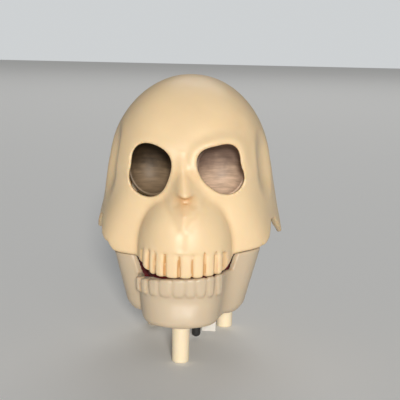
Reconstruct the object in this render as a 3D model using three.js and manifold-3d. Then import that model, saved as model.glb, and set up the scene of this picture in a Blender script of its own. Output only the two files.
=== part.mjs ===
import * as THREE from 'three';
import { mergeVertices } from 'three/addons/utils/BufferGeometryUtils.js';
import Module from 'manifold-3d';

const wasm = await Module();
wasm.setup();
const { Manifold, Mesh: ManifoldMesh } = wasm;

// A moulded toy skull head on three posts, with a lower jaw that swings on two pins.
// Millimetres, +Z up, the face looks along -Y and +X is to the right as you face it.

// Overall form
const backY = 22;            // open rear plane of the skull shell
const crownZ = 71.7;         // top of the head above the feet
const craniumWidth = 45.2;   // widest part of the brain case above the flares
const flareTipWidth = 52.8;  // across the tips of the rear flares
const shellWall = 1.8;
const toothEdgeZ = 23;       // biting edge of the upper teeth
const cheekEdgeZ = 27;       // lower edge of the cheeks
const fit = 0.3;             // clearance kept between neighbouring pieces

// Jaw
const pivotY = 1;
const pivotZ = 31.5;
const jawWall = 1.7;
const jawTopZ = 26.3;
const armX = 15;             // inner face of each jaw arm
const armThickness = 1.6;
const crossbar = { y: 6.65, z: 27.9, depth: 3.3, height: 2.8 };

// Chassis
const deckZ = 19;            // underside of the deck the posts carry
const deckThickness = 2.4;
const sideX = 13;            // inner face of each side wall
const sideThickness = 1.6;
const backPlateY = 15.3;
const backPlateThickness = 2;

// Posts
const postPlaces = [
  { name: 'front_post', x: -0.3, y: -14.1, footRadius: 2.15, topRadius: 2.4 },
  { name: 'rear_post_left', x: -10, y: 19.4, footRadius: 2.2, topRadius: 2.4 },
  { name: 'rear_post_right', x: 10, y: 19.4, footRadius: 2.2, topRadius: 2.4 },
];

// Push rod and lever
const rod = { x: 2.6, y: 6.1, radius: 1.2, bottomZ: 0.5 };
const lever = { x: 5.9, width: 4, y: 8.6, thickness: 1.6, footZ: 1.2, footReach: 3.6 };

const ivory = { color: 0xeed8ae, roughness: 0.42, metalness: 0 };
const jawIvory = { color: 0xdcc8a8, roughness: 0.45, metalness: 0 };
const cupGrey = { color: 0x6b5d50, roughness: 0.22, metalness: 0.35 };
const deepRed = { color: 0x5a0a0c, roughness: 0.4, metalness: 0 };
const white = { color: 0xe8e2da, roughness: 0.5, metalness: 0 };
const black = { color: 0x141414, roughness: 0.4, metalness: 0 };
const steel = { color: 0xa8a8a8, roughness: 0.35, metalness: 0.85 };

const group = new THREE.Group();
group.name = 'toy_skull_head';

function toSolid(geometry) {
  const source = geometry.index ? geometry : geometry.clone();
  source.deleteAttribute('normal');
  source.deleteAttribute('uv');
  const merged = mergeVertices(source, 1e-4);
  return new Manifold(new ManifoldMesh({
    numProp: 3,
    vertProperties: new Float32Array(merged.attributes.position.array),
    triVerts: new Uint32Array(merged.index.array),
  }));
}

function toGeometry(solid) {
  const mesh = solid.getMesh();
  const geometry = new THREE.BufferGeometry();
  geometry.setAttribute('position', new THREE.BufferAttribute(new Float32Array(mesh.vertProperties), 3));
  geometry.setIndex(new THREE.BufferAttribute(new Uint32Array(mesh.triVerts), 1));
  geometry.computeVertexNormals();
  return geometry;
}

function addPiece(name, solid, look) {
  const mesh = new THREE.Mesh(toGeometry(solid), new THREE.MeshStandardMaterial(look));
  mesh.name = name;
  group.add(mesh);
}

// Box given by its low and high corners
function box(x0, x1, y0, y1, z0, z1) {
  const geometry = new THREE.BoxGeometry(x1 - x0, y1 - y0, z1 - z0);
  geometry.translate((x0 + x1) / 2, (y0 + y1) / 2, (z0 + z1) / 2);
  return toSolid(geometry);
}

// Closed turned solid: profile is [radius, height] pairs that start and end on the axis
function turned(profile, segments, axis, at) {
  const points = profile.map(([radius, height]) => new THREE.Vector2(radius, height));
  const geometry = new THREE.LatheGeometry(points, segments);
  const turn = new THREE.Quaternion().setFromUnitVectors(new THREE.Vector3(0, 1, 0), axis.clone().normalize());
  geometry.applyQuaternion(turn);
  geometry.translate(at.x, at.y, at.z);
  return toSolid(geometry);
}

function cylinder(radius, from, to, segments = 16) {
  const axis = to.clone().sub(from);
  const length = axis.length();
  return turned([[0, 0], [radius, 0], [radius, length], [0, length]], segments, axis, from);
}

const v = (x, y, z) => new THREE.Vector3(x, y, z);
const mix = (a, b, t) => a + (b - a) * t;
const ease = (t) => { const c = Math.min(Math.max(t, 0), 1); return c * c * (3 - 2 * c); };

function blend(a, b, k) {
  const h = Math.max(k - Math.abs(a - b), 0) / k;
  return Math.min(a, b) - h * h * k * 0.25;
}

// Distance-like field of a rounded block: n = 2 is an ellipsoid, larger n is squarer
function roundBlock(x, y, z, a, b, c, n) {
  const g = (Math.abs(x / a) ** n + Math.abs(y / b) ** n + Math.abs(z / c) ** n) ** (1 / n);
  return g < 1e-6 ? -Math.min(a, b, c) : Math.hypot(x, y, z) * (1 - 1 / g);
}

function taperedRod(x, y, z, from, to, r0, r1) {
  const d = to.clone().sub(from);
  const t = Math.min(Math.max(((x - from.x) * d.x + (y - from.y) * d.y + (z - from.z) * d.z) / d.lengthSq(), 0), 1);
  return Math.hypot(x - from.x - d.x * t, y - from.y - d.y * t, z - from.z - d.z * t) - mix(r0, r1, t);
}

// Outside of the head: brain case with flared rear sides, face, cheeks, muzzle and nose
const eyes = [
  { x: -8.5, z: 48.8, halfWidth: 5.5, halfHeight: 6.8, power: 2.5 },
  { x: 8.9, z: 49.1, halfWidth: 5.9, halfHeight: 6.3, power: 2.7 },
];
const noseRoot = v(0, -13.6, 53);
const noseTip = v(0, -16.4, 42.8);

function headField(x, y, z) {
  const upper = z > 46 ? z - 46 : (z - 46) * 0.25;
  const flare = (flareTipWidth / craniumWidth / 0.955 - 1) * Math.max((47 - z) / 19, 0) ** 0.8 * ease((y + 10) / 32);
  let d = roundBlock(x / (1 + flare), y - 13.5, upper, craniumWidth / 2, 28.5, crownZ - 46, 2);
  d = blend(d, roundBlock(x, y - 6, z - 42.5, 19.3, 19.8, 17, 3), 3);
  d = blend(d, roundBlock(Math.abs(x) - 12.8, y + 3.5, z - 33.5, 7.9, 9.6, 7.2, 2.4), 2);
  const muzzleZ = z < 30 ? (z - 30) * 0.5 : z - 30;
  d = blend(d, roundBlock(x, y + 8.2, muzzleZ, 12.2, 12, 9.8, 2.3), 1.4);
  d = blend(d, taperedRod(x, y, z, noseRoot, noseTip, 1.2, 2.7), 1.6);
  if (y < 0) {
    for (const eye of eyes) {
      const ring = (Math.abs((x - eye.x) / eye.halfWidth) ** eye.power
        + Math.abs((z - eye.z) / eye.halfHeight) ** eye.power) ** (1 / eye.power);
      d -= 0.8 * Math.exp(-(((ring - 1.18) / 0.16) ** 2)) * ease((z - eye.z + 6) / 8);
    }
  }
  return d;
}

function radiusAlong(field, origin, direction, offset) {
  let low = 0;
  let high = 60;
  for (let i = 0; i < 40; i += 1) {
    const r = (low + high) / 2;
    const value = field(origin.x + direction.x * r, origin.y + direction.y * r, origin.z + direction.z * r);
    if (value + offset < 0) low = r; else high = r;
  }
  return low;
}

// Lower rim height round the head, by the turn away from straight ahead (degrees)
function rimHeight(turn) {
  const stops = [[0, toothEdgeZ], [15.5, toothEdgeZ + 0.3], [19.5, cheekEdgeZ], [34, cheekEdgeZ],
    [40, cheekEdgeZ + 2.2], [47, 34.4], [54, 34.2], [90, 27.7]];
  const a = Math.abs(turn);
  for (let i = 1; i < stops.length; i += 1) {
    const [t0, z0] = stops[i - 1];
    const [t1, z1] = stops[i];
    if (a <= t1) return mix(z0, z1, (a - t0) / (t1 - t0));
  }
  return stops[stops.length - 1][1];
}

// Skull shell: outer and inner skins sampled on rays from one point on the open rear plane
const shellCentre = v(0, backY, 40);
const turns = [];
for (const [from, to, count] of [[0, 15, 6], [15, 21, 3], [21, 36, 3], [36, 48, 3], [48, 90, 7]]) {
  for (let i = 0; i < count; i += 1) turns.push(mix(from, to, i / count));
}
turns.push(90);
const allTurns = [...turns.slice(1).reverse().map((t) => -t), ...turns];
const shellRows = 17;

function rayDirection(turn, lift) {
  const t = THREE.MathUtils.degToRad(turn);
  return v(Math.sin(t) * Math.cos(lift), -Math.cos(t) * Math.cos(lift), Math.sin(lift));
}

function skinPoint(turn, lift, offset) {
  const direction = rayDirection(turn, lift);
  return direction.multiplyScalar(radiusAlong(headField, shellCentre, direction, offset)).add(shellCentre);
}

function rimLift(turn) {
  let low = -1.3;
  let high = 0.2;
  for (let i = 0; i < 30; i += 1) {
    const lift = (low + high) / 2;
    if (skinPoint(turn, lift, 0).z < rimHeight(turn)) low = lift; else high = lift;
  }
  return low;
}

// Closes two matching point grids (outer, inner) into one solid, rows run rim to top
function skinSolid(outer, inner, pole) {
  const columns = outer.length;
  const rows = outer[0].length;
  const positions = [];
  for (const grid of [outer, inner]) for (const column of grid) for (const p of column) positions.push(p.x, p.y, p.z);
  const at = (side, i, j) => (side * columns + i) * rows + j;
  const index = [];
  const quad = (a, b, c, d) => index.push(a, b, c, a, c, d);
  for (let i = 0; i < columns - 1; i += 1) {
    for (let j = 0; j < rows - 1; j += 1) {
      quad(at(0, i, j), at(0, i + 1, j), at(0, i + 1, j + 1), at(0, i, j + 1));
      quad(at(1, i, j), at(1, i, j + 1), at(1, i + 1, j + 1), at(1, i + 1, j));
    }
    quad(at(0, i, 0), at(1, i, 0), at(1, i + 1, 0), at(0, i + 1, 0));
    if (!pole) quad(at(0, i, rows - 1), at(0, i + 1, rows - 1), at(1, i + 1, rows - 1), at(1, i, rows - 1));
  }
  for (let j = 0; j < rows - 1; j += 1) {
    quad(at(0, 0, j), at(0, 0, j + 1), at(1, 0, j + 1), at(1, 0, j));
    quad(at(0, columns - 1, j), at(1, columns - 1, j), at(1, columns - 1, j + 1), at(0, columns - 1, j + 1));
  }
  const geometry = new THREE.BufferGeometry();
  geometry.setAttribute('position', new THREE.BufferAttribute(new Float32Array(positions), 3));
  const merged = mergeVertices(geometry.setIndex(index), 1e-4);
  const clean = [];
  const tri = merged.index.array;
  for (let i = 0; i < tri.length; i += 3) {
    if (tri[i] !== tri[i + 1] && tri[i + 1] !== tri[i + 2] && tri[i] !== tri[i + 2]) {
      clean.push(tri[i], tri[i + 1], tri[i + 2]);
    }
  }
  merged.setIndex(clean);
  return toSolid(merged);
}

const outerSkin = [];
const innerSkin = [];
for (const turn of allTurns) {
  const start = rimLift(turn);
  const outerColumn = [];
  const innerColumn = [];
  for (let j = 0; j <= shellRows; j += 1) {
    const lift = mix(start, Math.PI / 2, (j / shellRows) ** 1.1);
    outerColumn.push(skinPoint(turn, lift, 0));
    innerColumn.push(skinPoint(turn, lift, shellWall));
  }
  outerSkin.push(outerColumn);
  innerSkin.push(innerColumn);
}
let shell = skinSolid(outerSkin, innerSkin, true);

function ovalPrism(eye, grow, y0, y1) {
  const shape = new THREE.Shape();
  const steps = 24;
  for (let i = 0; i < steps; i += 1) {
    const a = (i / steps) * Math.PI * 2;
    const c = Math.cos(a);
    const s = Math.sin(a);
    const x = eye.x + Math.sign(c) * Math.abs(c) ** (2 / eye.power) * (eye.halfWidth + grow);
    const z = eye.z + Math.sign(s) * Math.abs(s) ** (2 / eye.power) * (eye.halfHeight + grow);
    if (i === 0) shape.moveTo(x, z); else shape.lineTo(x, z);
  }
  const geometry = new THREE.ExtrudeGeometry(shape, { depth: y1 - y0, bevelEnabled: false });
  geometry.rotateX(Math.PI / 2);
  geometry.translate(0, y1, 0);
  return toSolid(geometry);
}
for (const eye of eyes) shell = shell.subtract(ovalPrism(eye, 0, -30, 2));

// Nasal opening: a shallow pear-shaped pocket under the nose bone
const nasal = new THREE.Shape();
nasal.moveTo(0, 36.4);
nasal.bezierCurveTo(2.4, 36.6, 2.2, 39.5, 0.9, 41);
nasal.bezierCurveTo(0.5, 41.4, -0.5, 41.4, -0.9, 41);
nasal.bezierCurveTo(-2.2, 39.5, -2.4, 36.6, 0, 36.4);
const nasalCut = new THREE.ExtrudeGeometry(nasal, { depth: 9, bevelEnabled: false, curveSegments: 6 });
nasalCut.rotateX(Math.PI / 2);
nasalCut.translate(0, -17.2, 0);
shell = shell.subtract(toSolid(nasalCut));

// One tooth: a squarish egg standing on the arch, turned to face outward
function tooth(x, y, z, width, depth, height, facing) {
  const geometry = new THREE.SphereGeometry(1, 8, 5);
  const position = geometry.attributes.position;
  for (let i = 0; i < position.count; i += 1) {
    const p = new THREE.Vector3().fromBufferAttribute(position, i);
    const g = (Math.abs(p.x) ** 4 + Math.abs(p.y) ** 4 + Math.abs(p.z) ** 4) ** 0.25;
    position.setXYZ(i, (p.x / g) * width / 2, (p.y / g) * height / 2, (p.z / g) * depth / 2);
  }
  geometry.rotateX(Math.PI / 2);
  geometry.rotateZ(facing);
  geometry.translate(x, y, z);
  return toSolid(geometry);
}

// Both rows of teeth stand on the same arch; each entry is [offset from the middle, width]
const arch = { y: -8.2, halfWidth: 12, reach: 12, power: 2.3 };
function toothOnArch(x, width, depth, z, height, inset) {
  const across = Math.abs(x / arch.halfWidth);
  const y = arch.y - arch.reach * (1 - across ** arch.power) ** (1 / arch.power);
  const facing = Math.sign(x) * Math.atan(across ** (arch.power - 1) / (1 - across ** arch.power) ** 0.55);
  return tooth(x - Math.sin(facing) * inset, y + Math.cos(facing) * inset, z, width, depth, height, facing);
}
const upperTeeth = [[-9.7, 2.3], [-7.7, 2.3], [-5.1, 2.6], [-1.8, 3.5], [1.8, 3.5], [5.1, 2.6], [7.7, 2.3], [9.7, 2.3]];
for (const [x, width] of upperTeeth) {
  shell = shell.add(toothOnArch(x, width, 2.4, toothEdgeZ + 3.1, 6.2, 0.7));
}

// Lugs inside the shell that take the chassis screws, trimmed to the middle of the wall
const screwPlaces = [[-17.6, 44.5], [17.6, 44.5], [-18.6, 36.5], [18.6, 36.5]];
const midSkin = outerSkin.map((column, i) => column.map((p, j) => p.clone().lerp(innerSkin[i][j], 0.5)));
const room = skinSolid(midSkin, midSkin.map((column) => column.map((p) => p.clone().lerp(shellCentre, 0.9))), true);
for (const [x, z] of screwPlaces) {
  const [low, high] = x < 0 ? [x - 7, x + 2.6] : [x - 2.6, x + 7];
  shell = shell.add(box(low, high, 7, backPlateY - fit, z - 2.6, z + 2.6).intersect(room));
  shell = shell.subtract(cylinder(0.85, v(x, 8.6, z), v(x, 20, z), 12));
}
addPiece('skull_shell', shell, ivory);

// Lower jaw: chin block and the two set-back rami, as one thin wall
function jawField(x, y, z) {
  const rise = (z - 10) / 15.5;
  const chin = roundBlock(x, y + 9, 0, mix(10.4, 12, rise), 11.6, 1, 2.4);
  const ramus = roundBlock(x, y < 0 ? y : y * 0.35, 0, mix(15, 19.2, rise), 10.5, 1, 3);
  return blend(chin, ramus, 0.8);
}
function stepped(stops, turn) {
  const a = Math.abs(turn);
  for (let i = 1; i < stops.length; i += 1) {
    if (a <= stops[i][0]) return mix(stops[i - 1][1], stops[i][1], (a - stops[i - 1][0]) / (stops[i][0] - stops[i - 1][0]));
  }
  return stops[stops.length - 1][1];
}
const jawFoot = [[0, 9.9], [28, 10.4], [48, 11.4], [64, 10.4], [96, 9.4], [108, 12], [118, 17]];
const jawTop = [[0, 21.2], [48, 21.2], [55, jawTopZ], [118, jawTopZ]];
const jawTurns = [];
for (const [from, to, count] of [[0, 44, 7], [44, 60, 5], [60, 118, 6]]) {
  for (let i = 0; i < count; i += 1) jawTurns.push(mix(from, to, i / count));
}
jawTurns.push(118);
const jawSides = [jawTurns.slice(1).reverse().map((t) => -t), jawTurns].flat();
const jawSkins = [0, jawWall].map((offset) => jawSides.map((turn) => {
  const column = [];
  for (let j = 0; j <= 5; j += 1) {
    const z = mix(stepped(jawFoot, turn), stepped(jawTop, turn), j / 5);
    const direction = rayDirection(turn, 0);
    const origin = v(0, 0, z);
    column.push(direction.multiplyScalar(radiusAlong(jawField, origin, direction, offset)).add(origin));
  }
  return column;
}));
let jaw = skinSolid(jawSkins[0], jawSkins[1], false);
const lowerTeeth = [[-9.7, 1.6], [-7.9, 1.9], [-5.7, 2.2], [-3.1, 2.7], [-0.3, 2.6], [2.4, 2.5], [5.0, 2.3],
  [7.3, 1.9], [9.3, 1.7]];
for (const [x, width] of lowerTeeth) {
  jaw = jaw.add(toothOnArch(x, width, 2, 20.5, toothEdgeZ * 2 - 2 * fit - 41, 0.5));
}

// Side plate of constant thickness, outlined in Y and Z
function sidePlate(outline, x0, x1) {
  const shape = new THREE.Shape(outline.map(([y, z]) => new THREE.Vector2(y, z)));
  const geometry = new THREE.ExtrudeGeometry(shape, { depth: x1 - x0, bevelEnabled: false });
  geometry.applyMatrix4(new THREE.Matrix4().makeBasis(v(0, 1, 0), v(0, 0, 1), v(1, 0, 0)));
  geometry.translate(x0, 0, 0);
  return toSolid(geometry);
}
const armOutline = [[-2.4, 19.6], [5, 19.6], [8.3, 25], [8.3, 29.3], [4, 32.6], [-2, 32.6]];
for (const side of [-1, 1]) {
  const [x0, x1] = side < 0 ? [-armX - armThickness, -armX] : [armX, armX + armThickness];
  const [w0, w1] = side < 0 ? [-16.7, -armX] : [armX, 16.7];
  jaw = jaw.add(sidePlate(armOutline, x0, x1));
  jaw = jaw.add(cylinder(3.2, v(x0, pivotY, pivotZ), v(x1, pivotY, pivotZ), 28));
  jaw = jaw.add(box(w0, w1, -2.4, 5, 19.6, 23.5));
  jaw = jaw.subtract(cylinder(1.2, v(x0 - 1, pivotY, pivotZ), v(x1 + 1, pivotY, pivotZ), 18));
}
const barY = [crossbar.y - crossbar.depth / 2, crossbar.y + crossbar.depth / 2];
const barZ = [crossbar.z - crossbar.height / 2, crossbar.z + crossbar.height / 2];
jaw = jaw.add(box(-15.5, 15.5, barY[0], barY[1], barZ[0], barZ[1]));
jaw = jaw.subtract(cylinder(0.85, v(lever.x, barY[0] + 0.6, crossbar.z), v(lever.x, 12, crossbar.z), 12));
addPiece('lower_jaw', jaw, jawIvory);

// Chassis: deck on the posts, side walls with pivot ears, back plate and eye carrier
const deckTop = deckZ + deckThickness;
const plateBack = backPlateY + backPlateThickness;
const wallOutline = [[-3, deckZ], [plateBack, deckZ], [plateBack, 36], [9.8, 36], [9.8, 24.6], [4.6, 24.6],
  [4.6, 31.5], [4, 33.6], [2.4, 34.8], [-0.4, 34.8], [-2.2, 33.6], [-3, 31.5]];
const shelf = { y: -0.7, z0: 44.9, z1: 46.9, halfWidth: 5 };
let chassis = box(-sideX - sideThickness, sideX + sideThickness, -3, 21.6, deckZ, deckTop)
  .add(box(-6, 6, -16.3, -2.5, deckZ, deckTop))
  .add(sidePlate(wallOutline, -sideX - sideThickness, -sideX))
  .add(sidePlate(wallOutline, sideX, sideX + sideThickness))
  .add(box(-sideX - sideThickness, sideX + sideThickness, backPlateY, plateBack, deckZ, 35))
  .add(box(-19.7, 19.7, backPlateY, plateBack, 34, 47.4))
  .add(box(-shelf.halfWidth, shelf.halfWidth, shelf.y, plateBack, shelf.z0, shelf.z1))
  .add(box(-14.6, 14.6, shelf.y, shelf.y + 1.6, 41.5, 55.5));
for (const side of [-1, 1]) {
  chassis = chassis.subtract(cylinder(1.2, v(side * 10, pivotY, pivotZ), v(side * 16, pivotY, pivotZ), 18));
}
for (const [x, z] of screwPlaces) chassis = chassis.subtract(cylinder(0.95, v(x, 14, z), v(x, 19, z), 14));
for (const { x, y } of postPlaces) {
  chassis = chassis.subtract(cylinder(0.95, v(x, y, deckZ - 1), v(x, y, deckTop + 1), 14));
  chassis = chassis.subtract(cylinder(2, v(x, y, deckTop - 1.4), v(x, y, deckTop + 1), 20));
}
chassis = chassis.subtract(cylinder(rod.radius + fit, v(rod.x, rod.y, 10), v(rod.x, rod.y, 23), 24));
chassis = chassis.subtract(box(lever.x - lever.width / 2 - 0.4, lever.x + lever.width / 2 + 0.4, lever.y - 0.3,
  lever.y + lever.thickness + 1.9, deckZ - 1, deckTop + 1));
const linerScrews = [[-4.2, -7.5], [4.2, -7.5]];
for (const [x, y] of linerScrews) chassis = chassis.subtract(cylinder(0.85, v(x, y, deckZ + 0.6), v(x, y, 23), 12));
const eyeMounts = [{ name: 'left', x: -8.7, z: 48.8, side: -1 }, { name: 'right', x: 8.8, z: 48.7, side: 1 }];
for (const { x, z } of eyeMounts) chassis = chassis.subtract(cylinder(1.8, v(x, -4, z), v(x, 4, z), 24));
addPiece('inner_chassis', chassis, ivory);

// Eye cups: deep bowls a little taller than wide, turned slightly outward, on straight stems
for (const { name, x, z, side } of eyeMounts) {
  const inner = [];
  const outer = [];
  for (let i = 0; i <= 6; i += 1) {
    const a = (i / 6) * Math.PI / 2;
    inner.push([6.2 * Math.cos(a), -4.8 * Math.sin(a)]);
    outer.push([7 * Math.cos(a), -6 * Math.sin(a)]);
  }
  outer.reverse();
  inner[6][0] = 0;
  outer[0][0] = 0;
  const profile = [...outer, ...inner].map(([r, h]) => new THREE.Vector2(r, h));
  const bowl = new THREE.LatheGeometry(profile, 20);
  bowl.rotateX(Math.PI);
  bowl.scale(0.95, 1, 1.08);
  bowl.rotateZ(side * 0.22);
  bowl.translate(x, -7.3, z);
  const stem = cylinder(1.6, v(x, -2.2, z), v(x, 2.7, z), 24);
  addPiece(`eye_cup_${name}`, toSolid(bowl).add(stem), cupGrey);
  const ring = turned([[0, 0], [3.1, 0], [3.1, 1], [0, 1]], 20, v(0, 1, 0), v(x, 1.2, z))
    .subtract(cylinder(1.75, v(x, 0, z), v(x, 3, z), 24));
  addPiece(`eye_retainer_${name}`, ring, black);
}

// Dark red mouth liner: a tray behind the teeth with an upright back
const trayShape = new THREE.Shape();
trayShape.moveTo(-8.8, -4.4);
for (let i = 0; i <= 16; i += 1) {
  const a = Math.PI - (i / 16) * Math.PI;
  trayShape.lineTo(8.8 * Math.cos(a), -9 - 7.6 * Math.sin(a));
}
trayShape.lineTo(8.8, -4.4);
const tray = new THREE.ExtrudeGeometry(trayShape, { depth: 1.2, bevelEnabled: false });
tray.translate(0, 0, deckTop + fit);
let liner = toSolid(tray).add(box(-14.2, 14.2, -5.6, -4.4, deckTop + fit, 33));
for (const [x, y] of linerScrews) liner = liner.subtract(cylinder(0.95, v(x, y, 20), v(x, y, 26), 14));
addPiece('mouth_liner', liner, deepRed);

// Posts, each with a blind hole for its screw
for (const { name, x, y, footRadius, topRadius } of postPlaces) {
  const top = deckZ - fit;
  const post = turned([[0, 0], [footRadius - 0.25, 0], [footRadius, 0.25], [topRadius, top], [0, top]], 24,
    v(0, 0, 1), v(x, y, 0));
  addPiece(name, post.subtract(cylinder(0.9, v(x, y, top - 6), v(x, y, top + 1), 14)), ivory);
}

// Screws: plain shank and a round head with one slot
function screw(name, head, into, length) {
  const axis = into.clone().normalize();
  const body = turned([[0, 0], [1.2, 0], [1.75, 0.45], [1.75, 1.1], [0.7, 1.1], [0.7, length], [0, length]], 12, axis,
    head);
  const slot = axis.z ? box(-1.2, 1.2, -0.25, 0.25, -0.5, 0.5) : box(-1.2, 1.2, -0.5, 0.5, -0.25, 0.25);
  addPiece(name, body.subtract(slot.translate([head.x, head.y, head.z])), steel);
}
for (const { name, x, y } of postPlaces) {
  screw(`${name}_screw`, v(x, y, deckTop), v(0, 0, -1), 8);
}
screwPlaces.forEach(([x, z], i) => screw(`chassis_screw_${i + 1}`, v(x, plateBack + 1.1 + fit, z), v(0, -1, 0), 9));
linerScrews.forEach(([x, y], i) => {
  screw(`liner_screw_${i + 1}`, v(x, y, deckTop + fit + 1.2 + fit + 1.1), v(0, 0, -1), 4.6);
});
screw('lever_screw', v(lever.x, lever.y + lever.thickness + fit + 1.1, crossbar.z), v(0, -1, 0), 5.6);

// Jaw pins and their return springs
for (const [name, side] of [['left', -1], ['right', 1]]) {
  const pin = turned([[0, 0], [2, 0], [2, 1.1], [1.05, 1.1], [1.05, 8.2], [0, 8.2]], 24, v(-side, 0, 0),
    v(side * (armX + armThickness + fit + 1.1), pivotY, pivotZ));
  addPiece(`jaw_pin_${name}`, pin, steel);

  const wire = [v(0, 13.2, -9.3), v(0, 5, -9.3), v(0, 2.6, -8), v(0, 1.9, -5.2)];
  for (let i = 0; i <= 26; i += 1) {
    const a = (i / 26) * 3.75 * Math.PI * 2;
    wire.push(v((i / 26) * 2.4, 1.9 * Math.cos(a), 1.9 * Math.sin(a)));
  }
  wire.push(v(2.4, 3.2, -1.6), v(2.4, 6.6, -0.9));
  addPiece(`jaw_spring_${name}`, springWire(wire, side), steel);
}

function springWire(points, side) {
  const placed = points.map((p) => v(side * (12.3 - p.x), pivotY + p.y, pivotZ + p.z));
  const path = new THREE.CatmullRomCurve3(placed, false, 'centripetal');
  const round = new THREE.Shape();
  round.absarc(0, 0, 0.3, 0, Math.PI * 2);
  return toSolid(new THREE.ExtrudeGeometry(round, { steps: 64, extrudePath: path, curveSegments: 3 }));
}

// Jaw lever with its foot tab, and the push rod under the crossbar
const leverX = [lever.x - lever.width / 2, lever.x + lever.width / 2];
const leverBar = box(leverX[0], leverX[1], lever.y, lever.y + lever.thickness, lever.footZ, 30)
  .add(box(leverX[0], leverX[1], lever.y, lever.y + lever.thickness + lever.footReach, lever.footZ, lever.footZ + 1.6))
  .subtract(cylinder(0.95, v(lever.x, 7, crossbar.z), v(lever.x, 12, crossbar.z), 14));
addPiece('jaw_lever', leverBar, white);

const rodTop = barZ[0] - fit;
addPiece('push_rod', turned([[0, 0], [0.7, 0.15], [1.1, 0.6], [rod.radius, 1.1], [rod.radius, rodTop - rod.bottomZ],
  [0, rodTop - rod.bottomZ]], 24, v(0, 0, 1), v(rod.x, rod.y, rod.bottomZ)), black);
addPiece('rod_collar', turned([[0, 0], [2.4, 0], [2.4, 1.2], [0, 1.2]], 24, v(0, 0, 1), v(rod.x, rod.y, deckTop + fit))
  .subtract(cylinder(rod.radius + 0.15, v(rod.x, rod.y, 20), v(rod.x, rod.y, 26), 24)), black);

// Put the middle of the overall box over the origin
const extent = new THREE.Box3().setFromObject(group);
for (const mesh of group.children) {
  mesh.geometry.translate(-(extent.min.x + extent.max.x) / 2, -(extent.min.y + extent.max.y) / 2, -extent.min.z);
}

export default group;
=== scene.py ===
from math import cos, pi, radians, sin

import bmesh
import bpy
import numpy as np
from mathutils import Matrix, Vector


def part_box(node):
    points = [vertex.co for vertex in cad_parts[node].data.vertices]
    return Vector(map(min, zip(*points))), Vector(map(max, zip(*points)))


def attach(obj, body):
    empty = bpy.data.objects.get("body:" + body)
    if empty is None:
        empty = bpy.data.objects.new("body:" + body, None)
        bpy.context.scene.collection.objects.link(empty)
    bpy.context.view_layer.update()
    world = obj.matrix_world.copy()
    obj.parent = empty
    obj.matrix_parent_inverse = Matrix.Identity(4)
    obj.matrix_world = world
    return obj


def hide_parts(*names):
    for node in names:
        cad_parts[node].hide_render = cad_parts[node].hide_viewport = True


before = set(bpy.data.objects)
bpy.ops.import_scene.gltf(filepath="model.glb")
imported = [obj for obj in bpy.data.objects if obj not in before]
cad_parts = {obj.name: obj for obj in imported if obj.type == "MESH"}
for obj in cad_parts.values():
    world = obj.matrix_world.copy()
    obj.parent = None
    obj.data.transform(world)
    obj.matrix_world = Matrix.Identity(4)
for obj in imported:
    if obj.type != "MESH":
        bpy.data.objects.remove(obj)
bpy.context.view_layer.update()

# Stage: a wide pale floor under soft studio light from the front, with the camera a little
# above the crown, turned slightly to the left and looking down at the face.
camera_data = bpy.data.cameras.new("camera")
camera_data.lens = 90
camera_data.sensor_width = 36
camera = bpy.data.objects.new("camera", camera_data)
bpy.context.scene.collection.objects.link(camera)
camera.matrix_world = (
    Matrix.Translation((0.0154, -0.2595, 0.0812))
    @ Matrix.Rotation(radians(2.7), 4, "Z")
    @ Matrix.Rotation(radians(90 - 9.16), 4, "X")
    @ Matrix.Rotation(radians(1.2), 4, "Z")
)
bpy.context.scene.camera = camera


def area_light(name, place, target, size, power, colour):
    data = bpy.data.lights.new(name, "AREA")
    data.size = size
    data.energy = power
    data.color = colour
    lamp = bpy.data.objects.new(name, data)
    lamp.location = place
    lamp.rotation_euler = (Vector(target) - Vector(place)).to_track_quat("-Z", "Y").to_euler()
    bpy.context.scene.collection.objects.link(lamp)


area_light("fill", (0.6, -1.5, 1.3), (0, 0, 0.03), 0.8, 1.5, (0.95, 0.97, 1.0))
area_light("rim", (0.1, 1.4, 1.5), (0, 0, 0.05), 1.0, 6.0, (1.0, 1.0, 1.0))

# The main light is far off and low in front, so that the face is lit evenly and both sides fall off.
key_data = bpy.data.lights.new("key", "SUN")
key_data.angle = radians(9)
key_data.energy = 3.0
key_data.color = (1.0, 0.96, 0.90)
key = bpy.data.objects.new("key", key_data)
key.rotation_euler = Vector((-0.13, 1.0, -0.28)).to_track_quat("-Z", "Y").to_euler()
bpy.context.scene.collection.objects.link(key)

# A soft dim surround lights the object; behind the floor's edge it shows as a pale backdrop.
world = bpy.data.worlds.new("studio")
world.use_nodes = True
sky = world.node_tree
surround = sky.nodes["Background"]
surround.inputs["Color"].default_value = (0.80, 0.86, 0.92, 1)
surround.inputs["Strength"].default_value = 0.16
backdrop = sky.nodes.new("ShaderNodeBackground")
backdrop.inputs["Color"].default_value = (0.62, 0.64, 0.65, 1)
seen = sky.nodes.new("ShaderNodeLightPath")
either = sky.nodes.new("ShaderNodeMixShader")
sky.links.new(seen.outputs["Is Camera Ray"], either.inputs[0])
sky.links.new(surround.outputs[0], either.inputs[1])
sky.links.new(backdrop.outputs[0], either.inputs[2])
sky.links.new(either.outputs[0], sky.nodes["World Output"].inputs["Surface"])
bpy.context.scene.world = world
bpy.context.scene.view_settings.view_transform = "Standard"

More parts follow.
